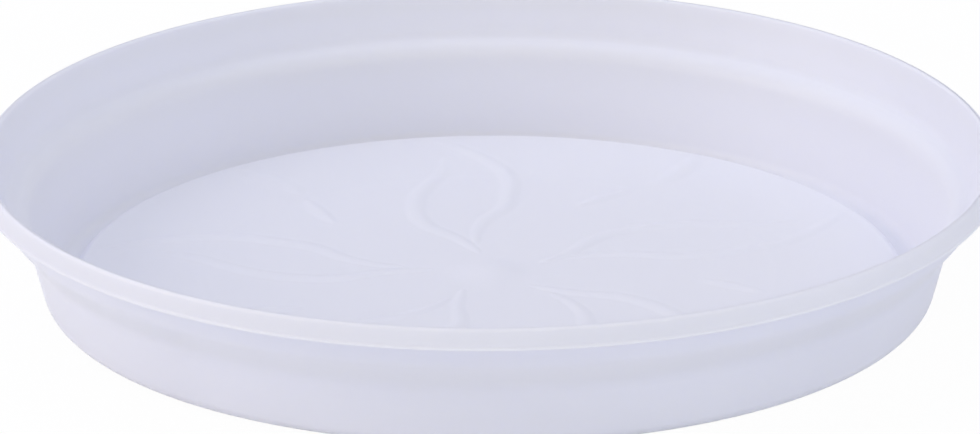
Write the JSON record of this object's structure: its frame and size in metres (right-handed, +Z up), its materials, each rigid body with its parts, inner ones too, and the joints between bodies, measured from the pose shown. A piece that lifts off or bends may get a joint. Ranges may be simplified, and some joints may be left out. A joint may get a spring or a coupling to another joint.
{
  "type": "plant saucer",
  "caption": "Round plant saucer with a leaning wall, a stepped flare, a thick beaded lip, a water channel around a raised floor and low leaf-shaped ribs for the pot to stand on.",
  "frame": {"origin": "centre of the circle that the saucer stands on, on the ground", "axes": "+Z up along the dish's axis; +X to the right and +Y away from the viewer of the picture"},
  "size_m": [0.2, 0.2, 0.0286],
  "materials": {
    "plastic": "satin"
  },
  "bodies": {
    "root": {"floor_panel": "plastic", "foot_channel": "plastic", "side_wall": "plastic", "rim_ledge": "plastic", "rim_flare": "plastic", "rim_lip": "plastic", "centre_boss": "plastic", "gate_stub": "plastic", "leaf_rib_left_1": "plastic", "leaf_rib_right_1": "plastic", "ray_rib_inner_1": "plastic", "ray_rib_outer_1": "plastic", "leaf_rib_left_2": "plastic", "leaf_rib_right_2": "plastic", "ray_rib_inner_2": "plastic", "ray_rib_outer_2": "plastic", "leaf_rib_left_3": "plastic", "leaf_rib_right_3": "plastic", "ray_rib_inner_3": "plastic", "ray_rib_outer_3": "plastic", "leaf_rib_left_4": "plastic", "leaf_rib_right_4": "plastic", "ray_rib_inner_4": "plastic", "ray_rib_outer_4": "plastic", "leaf_rib_left_5": "plastic", "leaf_rib_right_5": "plastic", "ray_rib_inner_5": "plastic", "ray_rib_outer_5": "plastic"}
  },
  "joints": []
}
